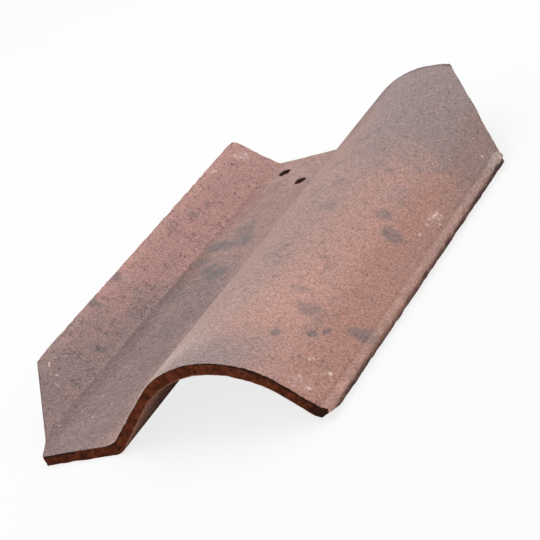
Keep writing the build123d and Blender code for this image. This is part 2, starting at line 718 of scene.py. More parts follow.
@dataclass(frozen=True)
class TileSheet:
    """The clay sheet: a closed skin bent to the section, with nail holes, worn edges and rough cut faces."""

    section: Section = Section()
    outline: Outline = Outline()
    wear: Wear = Wear()
    arris_mm: float = 1.2
    soft_arrises: tuple[Arris, ...] = (
        Arris("Tail", (2.4, 0.8), Step(150.0, 110.0), Step(12.0, 4.0)),
        Arris("Lip", (4.5, 1.5), Step(-9.0, -4.0), Step(3.0, 15.0), from_lip=True),
    )
    edge_band_mm: float = 6.6
    edge_cells: int = 10
    cells: tuple[int, int, int] = (160, 190, 9)
    holes_mm: tuple[Point, ...] = ((54.0, 26.0), (84.0, 53.0))
    hole_radius_mm: float = 5.0
    hole_sides: int = 40
    punch_walls: int = 4
    face_slack_mm: float = 0.02
    hole_slack_mm: float = 0.05
    sharp_angle: float = 60.0

    def base(self) -> bpy.types.Mesh:
        """Draws the section as points, each with its place on the underside.

        Returns:
            A mesh of loose points, in metres.
        """
        half = self.section.width() / 2
        pairs = self.section.pairs()
        mesh = bpy.data.meshes.new("section_points")
        mesh.from_pydata([((a[0] - half) * MM, 0.0, a[1] * MM) for a, _ in pairs], [], [])
        under = mesh.attributes.new("underside", "FLOAT_VECTOR", "POINT")
        for item, (_, b) in zip(under.data, pairs):
            item.vector = ((b[0] - half) * MM, 0.0, b[1] * MM)
        return mesh

    def hole_marks(self) -> tuple[Mark, ...]:
        """The nail holes' places on the unrolled sheet."""
        radius, length = self.hole_radius_mm, self.outline.length_mm
        places = [(self.section.sheet_place(x), length - back) for x, back in self.holes_mm]
        return tuple(Mark(s, y, radius, radius) for s, y in places)

    def hole_axes(self) -> list[Triple]:
        """The nail holes' axes on the unrolled sheet, in metres."""
        return [(hole.across_mm * MM, hole.along_mm * MM, 0.0) for hole in self.hole_marks()]

    def spread(self, share: Field, length: Field, cells: int) -> Field:
        """Places grid lines close together at both ends of a length.

        Args:
            share: even spacing from 0 to 1.
            length: the whole length.
            cells: how many cells it has.

        Returns:
            The place along the length.
        """
        edge, part = self.edge_band_mm * MM, self.edge_cells / cells
        first = share.step(Step(0.0, part, 0.0, edge), "LINEAR")
        inner = share.step(Step(part, 1 - part, 0.0, length - 2 * edge), "LINEAR")
        return first + inner + share.step(Step(1 - part, 1.0, 0.0, edge), "LINEAR")

    def slab(self, tree: ShapeTree, size: tuple[Field, Field, Field]) -> Field:
        """The unrolled sheet: a flat slab with its top face at zero height, and the nail holes through it.

        Args:
            tree: the tree to build in.
            size: its width, length and thickness.

        Returns:
            The slab's geometry.
        """
        counts = {f"Vertices {axis}": n + 1 for axis, n in zip("XYZ", self.cells)}
        block = tree.out("GeometryNodeMeshCube", {"Size": (1.0, 1.0, 1.0), **counts}, "Mesh")
        u, v, w = tree.split(tree.vector("ADD", tree.place(), (0.5, 0.5, -0.5)))
        s, y = self.spread(u, size[0], self.cells[0]), self.spread(v, size[1], self.cells[1])
        flat = tree.move(block, Position=tree.join(s, y, w * size[2]))
        radius = tree.size_mm("Hole radius", self.hole_radius_mm)
        depth = self.punch_walls * self.section.pan_wall_mm * MM
        inputs = {"Vertices": self.hole_sides, "Radius": radius, "Depth": depth}
        punch = tree.out("GeometryNodeMeshCylinder", inputs, "Mesh")
        punches = tree.add("GeometryNodeJoinGeometry")
        for axis in self.hole_axes():
            moved = tree.out("GeometryNodeTransform", {"Geometry": punch, "Translation": axis})
            tree.feed(punches.inputs[0], moved)
        both = {"Mesh 1": flat, "Mesh 2": Field(tree, punches.outputs[0])}
        return tree.out("GeometryNodeMeshBoolean", both, "Mesh", operation="DIFFERENCE", solver="EXACT")

    def softened(self, tree: ShapeTree, place: Field, size: tuple[Field, Field, Field]) -> Field:
        """Rounds the slab's arrises.

        Args:
            tree: the tree to build in.
            place: the place on the slab.
            size: the slab's width, length and thickness.

        Returns:
            The place on the rounded slab.
        """
        width, length, wall = size
        s, y, z = tree.split(place)
        down = -z / wall
        arris = tree.size_mm("Arris radius", self.arris_mm)
        for soft in self.soft_arrises:
            top, low = (tree.size_mm(f"{soft.name} {end} arris", radius)
                        for end, radius in zip(("top", "lower"), soft.radii_mm))
            across = s - width if soft.from_lip else s
            here = across.step(soft.across_mm.in_metres()) * y.step(soft.along_mm.in_metres())
            arris = tree.blend(here, arris, tree.blend(down, top, low))
        lowest = tree.join(arris, arris, arris - wall)
        highest = tree.join(width - arris, length - arris, -arris)
        inner = tree.vector("MINIMUM", tree.vector("MAXIMUM", place, lowest), highest)
        out = tree.vector("NORMALIZE", tree.vector("SUBTRACT", place, inner))
        return tree.vector("ADD", inner, tree.vector("SCALE", out, arris))

    def bent(self, tree: ShapeTree, s: Field, depth: Field) -> tuple[Field, Field]:
        """Bends the sheet to the section.

        Args:
            tree: the tree to build in.
            s: distance from the left edge along the sheet.
            depth: share of the way from the top face to the underside.

        Returns:
            The place across the tile and the height.
        """
        points = tree.out("GeometryNodeMeshToPoints", {"Mesh": Field(tree, tree.entry.outputs["Geometry"])})
        order = tree.out("GeometryNodeInputIndex")
        line = tree.out("GeometryNodePointsToCurves", {"Points": points, "Weight": order})
        inputs = {"Curves": line, "Value": tree.kept("underside", "FLOAT_VECTOR"), "Length": s}
        bend = tree.add(
            "GeometryNodeSampleCurve", inputs, mode="LENGTH", data_type="FLOAT_VECTOR", use_all_curves=True)
        top, under = Field(tree, bend.outputs["Position"]), Field(tree, bend.outputs["Value"])
        wall = tree.vector("SUBTRACT", under, top)
        x, _, up = tree.split(tree.vector("ADD", top, tree.vector("SCALE", wall, depth)))
        return x, up

    def from_arris(
            self, tree: ShapeTree, place: Field, size: tuple[Field, Field, Field], reach: Field) -> Field:
        """How far a point lies from the top arris.

        Args:
            tree: the tree to build in.
            place: the place on the slab.
            size: the slab's width, length and thickness.
            reach: the tile's own length at that place across.

        Returns:
            The distance on the top face, negative down the cut faces, in the holes and on the underside.
        """
        width, length, wall = size
        s, y, z = tree.split(place)
        along = y * reach / length
        edge = s.at_most(width - s).at_most(along.at_most(reach - along))
        slack = self.face_slack_mm * MM
        way = tree.blend(z.above(-slack), z, edge) - z.below(slack - wall) * edge
        for axis in self.hole_axes():
            off = tree.vector("DISTANCE", tree.join(s, y), axis)
            in_hole = off.below((self.hole_radius_mm + self.hole_slack_mm) * MM)
            way = tree.blend(in_hole, way, -self.section.pan_wall_mm * MM / 2)
        return way

    def shape(self, finish: bpy.types.Material) -> ShapeTree:
        """Builds the tree that unrolls, bends and wears the clay sheet.

        Args:
            finish: the clay's finish.

        Returns:
            The tree.
        """
        tree = ShapeTree("clay_sheet")
        width = tree.size_mm("Sheet width", self.section.sheet_width())
        length = tree.size_mm("Sheet length", self.outline.length_mm)
        wall = tree.size_mm("Wall", self.section.pan_wall_mm)
        size = (width, length, wall)
        flat = self.slab(tree, size)
        place = tree.place()
        s, _, z = tree.split(place)
        soft_s, soft_y, soft_z = tree.split(self.softened(tree, place, size))
        x, up = self.bent(tree, soft_s, -soft_z / wall)
        tile_width = self.section.width() * MM
        tail, head = self.outline.ends(tree, x + tile_width / 2, tile_width)
        reach = head - tail
        along = tail + soft_y * reach / length
        middle = self.outline.length_mm * MM / 2
        marked = tree.keep(flat, "sheet", "FLOAT_VECTOR", tree.join(s, along, -z))
        marked = tree.keep(marked, "arris", "FLOAT", self.from_arris(tree, place, size, reach))
        formed = tree.move(marked, Position=tree.join(x, along - middle, up))
        tree.close(self.broken(tree, self.worn(tree, formed)), finish)
        return tree

    def worn(self, tree: ShapeTree, shape: Field) -> Field:
        """Cuts the relief: warp, drag lines, sand, chipped arrises and rough cut faces.

        Args:
            tree: the tree to build in.
            shape: the bent sheet.

        Returns:
            The worn sheet.
        """
        wear, place = self.wear, tree.place()
        sheet, way = tree.kept("sheet", "FLOAT_VECTOR"), tree.kept("arris", "FLOAT")
        s, y, _ = tree.split(sheet)
        height = way + self.section.pan_wall_mm * MM
        edge = Step(wear.edge_reach_mm, 0.0).in_metres()
        at_top, at_under = way.size().step(edge), height.size().step(edge)

        warp = tree.noise(place, wear.warp) * tree.size_mm("Warp", wear.warp_mm)
        drag = tree.noise(sheet, wear.drag) * tree.size_mm("Drag lines", wear.drag_mm)
        sand = tree.noise(place, wear.sand) * tree.size_mm("Sand", wear.sand_mm)
        relief = (warp + drag + sand) * height.step(wear.relief_height_mm.in_metres())
        chips = at_top * tree.patchy(place, wear.chips) * y.step(wear.chips_along_mm.in_metres())
        chips = chips * tree.size_mm("Chips", wear.chip_mm)
        wander = at_top.at_least(way.step(wear.wander_down_mm.in_metres()))
        wander = wander * height.step(wear.wander_height_mm.in_metres()) * tree.patchy(place, wear.wander)
        wander = wander * tree.size_mm("Edge wander", wear.wander_mm)
        lower = at_under * tree.patchy(place, wear.lower_edge)
        lower = lower * tree.size_mm("Lower edge", wear.lower_edge_mm)
        on_cut = way.step(wear.cut_down_mm.in_metres()) * height.step(wear.cut_height_mm.in_metres())
        torn = tree.noise(place, wear.cut) * on_cut * tree.size_mm("Cut face", wear.cut_mm)
        crust_at = tuple(v * MM for v in (*wear.crust_at_mm, 0.0))
        off = tree.vector("DISTANCE", tree.join(s, y), crust_at)
        crumbs = tree.noise(place, wear.crust) + wear.crust_fill
        crust = off.step(wear.crust_off_mm.in_metres()) * crumbs * way.step(wear.crust_down_mm.in_metres())
        depth = relief + chips + wander + lower + torn - crust * tree.size_mm("Crust", wear.crust_mm)
        return tree.move(shape, Offset=tree.vector("SCALE", tree.out("GeometryNodeInputNormal"), -depth))

    def broken(self, tree: ShapeTree, shape: Field) -> Field:
        """Breaks the lower corner off at the right end of the tail.

        Args:
            tree: the tree to build in.
            shape: the worn sheet.

        Returns:
            The sheet with its broken corner.
        """
        half = Vector((self.section.width() / 2, self.outline.length_mm / 2, 0.0))
        on_break = (Vector(self.wear.corner_at_mm) - half) * MM
        out = Vector(self.wear.corner_out).normalized()
        place = tree.place()
        past = tree.vector("DOT_PRODUCT", tree.vector("SUBTRACT", place, on_break), out)
        past = (past + tree.swing(place, self.wear.corner_rough)).at_least(0.0)
        return tree.move(shape, Offset=tree.vector("SCALE", tuple(out), -past))

    def build(self, finish: bpy.types.Material) -> bpy.types.Object:
        """Makes the finished tile.

        Args:
            finish: the clay's finish.

        Returns:
            The tile, riding on the body and standing for the solid.
        """
        tile = self.shape(finish).run(self.base(), "roof_tile_clay")
        tile.data.shade_smooth()
        tile.data.set_sharp_from_angle(angle=math.radians(self.sharp_angle))
        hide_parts(NODE)
        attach(tile, BODY)
        return tile


class Canvas(Tree):
    """The clay's shader tree, with the places that its colours follow.

    place is on the tile, in metres. The others are in millimetres: sheet is on the unrolled sheet, s and y
    lie across and along it, from_lip is the distance past the right edge, way is the distance from the top
    arris, and height the distance up a cut face.
    """

    def __init__(self, tree: bpy.types.NodeTree, section: Section) -> None:
        """Reads the places.

        Args:
            tree: the material's tree.
            section: the clay's section.
        """
        super().__init__(tree)
        self.place = self.out("ShaderNodeTexCoord", output="Object")
        sheet = self.out("ShaderNodeAttribute", output="Vector", attribute_name="sheet")
        self.sheet = self.vector("SCALE", sheet, 1 / MM)
        self.s, self.y, _ = self.split(self.sheet)
        self.sheet_width = section.sheet_width()
        self.from_lip = self.s - self.sheet_width
        self.way = self.out("ShaderNodeAttribute", output="Fac", attribute_name="arris") * (1 / MM)
        self.height = self.way + section.pan_wall_mm


@dataclass(frozen=True)
class Flame:
    """How the flame reached the clay: wavering distances across and along the sheet, and its small swings."""

    s: Field
    y: Field
    mottle: Field


class Clay:
    """Colours that more than one finish of the clay shares, in linear light."""

    PINK: Colour = (0.404, 0.274, 0.244)
    GREY: Colour = (0.329, 0.253, 0.244)
    BROWN: Colour = (0.322, 0.223, 0.202)
    # Chalk, also used as a painted highlight on the crease's ridge.
    CHALK_AND_HIGHLIGHT: Colour = (0.800, 0.580, 0.525)
    # Soot, also used as painted shade in the crease, in the lip's groove, along the mitre's rim and low on the
    # rolled edges.
    SOOT_AND_SHADE: Colour = (0.100, 0.062, 0.055)
    BLACK: Colour = (0.0, 0.0, 0.0)


@dataclass(frozen=True)
class Layer:
    """A colour laid where all its steps across and along the sheet, and its patches, agree."""

    colour: Colour
    across_mm: tuple[Step, ...]
    along_mm: tuple[Step, ...]
    patches: Patchy | None = None

    def share(self, canvas: Canvas, s: Field, y: Field) -> Field:
        """How much of the colour there is.

        Args:
            canvas: the clay's tree.
            s: the place across that the steps read.
            y: the place along that the steps read.

        Returns:
            The share.
        """
        parts = [s.step(step) for step in self.across_mm] + [y.step(step) for step in self.along_mm]
        if self.patches:
            parts.append(canvas.patchy(canvas.place, self.patches))
        return math.prod(parts)

    def over(self, canvas: Canvas, colour: Field, s: Field, y: Field) -> Field:
        """The colour laid over another, at places across and along."""
        return canvas.mix(self.share(canvas, s, y), colour, self.colour)


@dataclass(frozen=True)
class WingTone:
    """The upturned side: warm at its outer edge and its head, cooler towards the crease and the tail, with a
    painted highlight along its outer edge.
    """

    warm: Colour = (0.501, 0.291, 0.263)
    cool: Colour = (0.312, 0.232, 0.223)
    crease_mm: float = 43.0
    slant: float = 2.4
    flash_along_mm: Step = Step(340.0, 160.0)
    mottling: float = 1.3
    cooling: Step = Step(-0.15, 1.2)
    # Painted highlight: the colour made up to 12% lighter along the outer edge.
    outer_edge_mm: Step = Step(14.0, 4.0, 1.0, 1.12)

    def colour(self, canvas: Canvas, flame: Flame) -> Field:
        """Paints the upturned side.

        Args:
            canvas: the clay's tree.
            flame: how the flame reached it.

        Returns:
            The colour.
        """
        reach = flame.y - (canvas.s - self.crease_mm) * self.slant
        flash = reach.step(self.flash_along_mm) + flame.mottle * self.mottling
        colour = canvas.mix(flash.step(self.cooling), self.warm, self.cool)
        # Painted highlight along the outer edge.
        return canvas.shade(colour, canvas.s.step(self.outer_edge_mm))


@dataclass(frozen=True)
class PanTone:
    """The pan: russet beside the crease at its head, mauve to the tail, and with painted shade along the
    crease.
    """

    head: Colour = (0.373, 0.246, 0.221)
    tail: Colour = (0.278, 0.201, 0.193)
    russet: Colour = (0.358, 0.204, 0.176)
    flash_along_mm: Step = Step(330.0, 205.0)
    mottling: float = 1.2
    cooling: Step = Step(-0.15, 1.1)
    russet_across_mm: Step = Step(64.0, 50.0, 0.0, 0.8)
    russet_blotches: Step = Step(0.05, 0.4, 0.0, 0.3)
    # Painted shade: black laid thinly over the pan beside the crease, except at the head.
    painted_crease_shade: Layer = Layer(Clay.BLACK, (Step(68.0, 50.0, 0.0, 0.17),), (Step(350.0, 290.0),))
    head_glow_mm: Step = Step(385.0, 440.0, 1.0, 1.12)
    blotch: float = 0.48
    fine_blotch: Swing = Swing(330.0, 0.4)

    def colour(self, canvas: Canvas, flame: Flame) -> Field:
        """Paints the pan.

        Args:
            canvas: the clay's tree.
            flame: how the flame reached it.

        Returns:
            The colour.
        """
        flash = flame.y.step(self.flash_along_mm) + flame.mottle * self.mottling
        head = canvas.mix(flame.s.step(self.russet_across_mm), self.head, self.russet)
        colour = canvas.mix(flash.step(self.cooling), head, self.tail)
        colour = canvas.mix(flame.mottle.step(self.russet_blotches), colour, self.russet)
        # Painted shade beside the crease.
        colour = self.painted_crease_shade.over(canvas, colour, canvas.s, flame.y)
        tone = 1.0 + flame.mottle * self.blotch + canvas.swing(canvas.place, self.fine_blotch)
        return canvas.shade(colour, tone * flame.y.step(self.head_glow_mm))


@dataclass(frozen=True)
class RollTone:
    """The roll: grey at the head, pink along its left side and salmon on its right side, with a painted sheen
    that makes its left side pale near the tail.
    """

    salmon: Colour = (0.521, 0.300, 0.254)
    deep: Colour = (0.480, 0.258, 0.210)
    tail_half_mm: Step = Step(190.0, 90.0)
    turn_at_tail_mm: float = 14.0
    turn_at_head_mm: Step = Step(200.0, 300.0, 0.0, -22.0)
    salmon_across_mm: Step = Step(248.0, 300.0)
    glow_along_mm: Step = Step(35.0, 80.0, 0.0, 0.06)
    deep_across_mm: Step = Step(300.0, 328.0)
    brown_across_mm: Step = Step(300.0, 330.0)
    flash_lag_mm: Step = Step(252.0, 214.0, 0.0, 95.0)
    flash_along_mm: Step = Step(225.0, 375.0)
    mottling: float = 1.2
    cooling: Step = Step(-0.1, 1.05)
    layers: tuple[Layer, ...] = (
        # Painted sheen: pale beige over the roll's left side near the tail, where light grazes it.
        Layer((0.491, 0.376, 0.341), (Step(150.0, 185.0), Step(255.0, 215.0)), (Step(95.0, 45.0, 0.0, 0.9),)),
        Layer(Clay.GREY, (Step(206.0, 228.0), Step(315.0, 262.0)), (Step(62.0, 2.0, 0.0, 0.85),)),
        Layer(Clay.BLACK, (Step(226.0, 204.0),), (Step(320.0, 390.0, 0.0, 0.2),)),
    )

    def colour(self, canvas: Canvas, flame: Flame) -> Field:
        """Paints the roll.

        Args:
            canvas: the clay's tree.
            flame: how the flame reached it.

        Returns:
            The colour.
        """
        low = flame.y.step(self.tail_half_mm)
        turn = flame.s + low * self.turn_at_tail_mm + flame.y.step(self.turn_at_head_mm)
        warm = canvas.mix(turn.step(self.salmon_across_mm), Clay.PINK, self.salmon)
        warm = canvas.shade(warm, 1.0 + low * flame.y.step(self.glow_along_mm))
        warm = canvas.mix(flame.s.step(self.deep_across_mm), warm, self.deep)
        cool = canvas.mix(flame.s.step(self.brown_across_mm), Clay.GREY, Clay.BROWN)
        reach = flame.y - flame.s.step(self.flash_lag_mm)
        flash = reach.step(self.flash_along_mm) + flame.mottle * self.mottling
        colour = canvas.mix(flash.step(self.cooling), warm, cool)
        for layer in self.layers:
            colour = layer.over(canvas, colour, flame.s, flame.y)
        return colour


@dataclass(frozen=True)
class KilnFlashAndPaintedLight:
    """The kiln's broad colours over the top face, with painted shade beside the crease, a painted sheen on the
    roll near the tail and a painted highlight along the wing's outer edge.
    """

    wing: WingTone = WingTone()
    pan: PanTone = PanTone()
    roll: RollTone = RollTone()
    waver_across: Swing = Swing(22.0, 34.0, 4.0)
    waver_along: Swing = Swing(15.0, 110.0, 4.0)
    mottle: Swing = Swing(42.0, 0.9, 5.0)
    fine_mottle: Swing = Swing(150.0, 0.9, 4.0)
    crease_waver: Swing = Swing(60.0, 5.0)
    crease_across_mm: Step = Step(44.5, 50.0)
    foot_across_mm: Step = Step(100.0, 130.0)

    def colour(self, canvas: Canvas) -> Field:
        """Paints the wing, the pan and the roll.

        Args:
            canvas: the clay's tree.

        Returns:
            The colour.
        """
        waver_s, waver_y, broad, fine, crease = (canvas.swing(canvas.place, swing) for swing in (
            self.waver_across, self.waver_along, self.mottle, self.fine_mottle, self.crease_waver))
        flame = Flame(canvas.s + waver_s, canvas.y + waver_y, broad + fine)
        wing, pan, roll = (zone.colour(canvas, flame) for zone in (self.wing, self.pan, self.roll))
        left = canvas.mix((canvas.s + crease).step(self.crease_across_mm), wing, pan)
        return canvas.mix(flame.s.step(self.foot_across_mm), left, roll)


@dataclass(frozen=True)
class SmokeSpots:
    """Grey spots that smoke left on the face, some at set places and faint ones all over."""

    smoke: Colour = (0.213, 0.183, 0.180)
    spots: MarkGroup = MarkGroup((
        Mark(305.0, 219.0, 8.0, 7.0, 0.66),
        Mark(318.0, 202.0, 10.5, 9.0, 0.70),
        Mark(302.0, 85.0, 9.0, 8.0, 0.58),
        Mark(342.0, 87.0, 12.0, 11.0, 0.75),
        Mark(312.0, 62.0, 5.0, 5.0, 0.85),
        Mark(290.0, 49.0, 4.5, 4.0, 0.8),
        Mark(319.0, 71.0, 3.0, 3.0, 0.9),
        Mark(257.0, 217.0, 9.0, 8.0, 0.4),
        Mark(252.0, 254.0, 7.0, 6.0, 0.4),
        Mark(20.0, 337.0, 5.5, 6.0, 0.4),
        Mark(15.0, 307.0, 6.5, 7.0, 0.45),
        Mark(5.0, 222.0, 6.5, 9.0, 0.7),
        Mark(5.0, 182.0, 6.0, 7.0, 0.7),
        Mark(35.0, 138.0, 7.0, 6.0, 0.8),
        Mark(78.0, 327.0, 14.0, 15.0, 0.6),
        Mark(62.0, 306.0, 12.0, 10.0, 0.95),
        Mark(88.0, 306.0, 10.0, 11.0, 1.0),
        Mark(75.0, 303.0, 14.0, 9.0, 0.8),
        Mark(57.0, 279.0, 8.0, 7.0, 0.9),
        Mark(72.0, 263.0, 9.0, 9.0, 1.0),
        Mark(86.0, 251.0, 13.0, 11.0, 0.95),
        Mark(62.0, 225.0, 14.0, 13.0, 0.45),
        Mark(84.0, 166.0, 14.0, 12.0, 0.42),
    ), 1.3, 0.4)
    wobble_across: Swing = Swing(75.0, 16.0, 4.0)
    wobble_along: Swing = Swing(75.0, 16.0, 4.0, (3.0, 0.0, 0.0))
    speckle: Patchy = Patchy(Grain(260.0, 3.0, 0.65), Step(0.28, 0.52, 0.7, 0.95))
    faint: Patchy = Patchy(Grain(70.0, 4.0, 0.6, shift=(6.0, 0.0, 0.0)), Step(0.58, 0.68, 0.0, 0.35))

    def over(self, canvas: Canvas, face: Field) -> Field:
        """Lays the spots over the face.

        Args:
            canvas: the clay's tree.
            face: the colour under them.

        Returns:
            The colour.
        """
        place = canvas.place
        wobble = canvas.join(canvas.swing(place, self.wobble_across), canvas.swing(place, self.wobble_along))
        spot = self.spots.cover(canvas, canvas.vector("ADD", canvas.sheet, wobble))
        spot = spot * canvas.patchy(place, self.speckle)
        return canvas.mix(spot.at_least(canvas.patchy(place, self.faint)), face, self.smoke)


@dataclass(frozen=True)
class FormedLinesAndPaintedLight:
    """The crease with its painted shade and the painted highlight on its ridge, the lip's strip with its
    painted highlight and the painted shade in its groove, the burnt head end, and drag wrinkles.
    """

    waver: Swing = Swing(40.0, 2.0)
    # Painted shade: a dark line in the crease.
    crease_mm: float = 48.2
    crease: Step = Step(1.9, 0.2, 0.0, 0.17)
    # Painted highlight: a pale line on the ridge beside the crease.
    ridge_mm: float = 45.4
    ridge: Step = Step(1.7, 0.2, 0.0, 0.09)
    whole: Patchy = Patchy(Grain(120.0, 3.0), Step(0.3, 0.6, 0.35, 1.0))
    whole_along_mm: tuple[Step, Step] = (Step(40.0, 150.0, 0.1, 1.0), Step(360.0, 270.0, 0.3, 1.0))
    beside_lip: Layer = Layer(
        Clay.BROWN, (Step(-36.0, -13.0, 0.0, 0.34),), (Step(130.0, 220.0), Step(345.0, 300.0)))
    # Painted highlight: the lip's strip made pinker and lighter, where it turns up towards the light.
    strip_mm: Step = Step(-8.8, -7.2)
    strip_pink: float = 0.4
    strip_light: float = 0.07
    strip_lumps: Swing = Swing(75.0, 0.8)
    # Painted shade: a dark line in the groove beside the lip's strip.
    groove_mm: float = -9.4
    groove: Step = Step(2.4, 0.3, 0.0, 0.17)
    burnt_head: Layer = Layer(
        Clay.SOOT_AND_SHADE, (Step(150.0, 190.0), Step(300.0, 270.0)), (Step(448.0, 455.0, 0.0, 0.8),),
        Patchy(Grain(70.0, 4.0, 0.6), Step(0.36, 0.54)))
    wrinkles: Grain = Grain(62.0, 3.0, 0.6, 0.4)
    wrinkle_line: Step = Step(0.02, 0.003)
    wrinkle_patches: Patchy = Patchy(Grain(95.0), Step(0.52, 0.62))
    wrinkles_on_wing_mm: Step = Step(64.0, 40.0, 0.25, 1.0)
    wrinkles_by_lip_mm: Step = Step(335.0, 345.0, 0.0, 0.2)
    wrinkle_dark: float = 0.42

    def over(self, canvas: Canvas, face: Field) -> Field:
        """Lays the painted crease shade and ridge highlight, the lip's painted highlight and groove shade, and
        the burnt head end over the face.

        Args:
            canvas: the clay's tree.
            face: the colour under them.

        Returns:
            The colour.
        """
        s, y, place = canvas.s + canvas.swing(canvas.place, self.waver), canvas.y, canvas.place
        whole = math.prod([y.step(step) for step in self.whole_along_mm]) * canvas.patchy(place, self.whole)
        # Painted shade in the crease, and a painted highlight on its ridge.
        colour = canvas.mix((s - self.crease_mm).size().step(self.crease) * whole, face, Clay.SOOT_AND_SHADE)
        colour = canvas.mix((s - self.ridge_mm).size().step(self.ridge) * whole, colour, Clay.CHALK_AND_HIGHLIGHT)
        colour = self.beside_lip.over(canvas, colour, canvas.from_lip, y)
        # Painted highlight on the lip's strip.
        strip = canvas.from_lip.step(self.strip_mm)
        colour = canvas.mix(strip * self.strip_pink, colour, Clay.PINK)
        lumps = canvas.swing(place, self.strip_lumps) + self.strip_light
        colour = canvas.shade(colour, 1.0 + strip * lumps)
        # Painted shade in the lip's groove.
        groove = (canvas.from_lip - self.groove_mm).size().step(self.groove)
        colour = canvas.mix(groove, colour, Clay.SOOT_AND_SHADE)
        return self.burnt_head.over(canvas, colour, canvas.s, y)

    def wrinkled(self, canvas: Canvas, face: Field) -> tuple[Field, Field]:
        """Lays the drag wrinkles over the face.

        Args:
            canvas: the clay's tree.
            face: the colour under them.

        Returns:
            The colour, and where the wrinkles are.
        """
        line = canvas.ripple(canvas.place, self.wrinkles).size().step(self.wrinkle_line)
        where = canvas.s.step(self.wrinkles_on_wing_mm) + canvas.s.step(self.wrinkles_by_lip_mm)
        wrinkle = line * canvas.patchy(canvas.place, self.wrinkle_patches) * where
        return canvas.mix(wrinkle * self.wrinkle_dark, face, Clay.SOOT_AND_SHADE), wrinkle


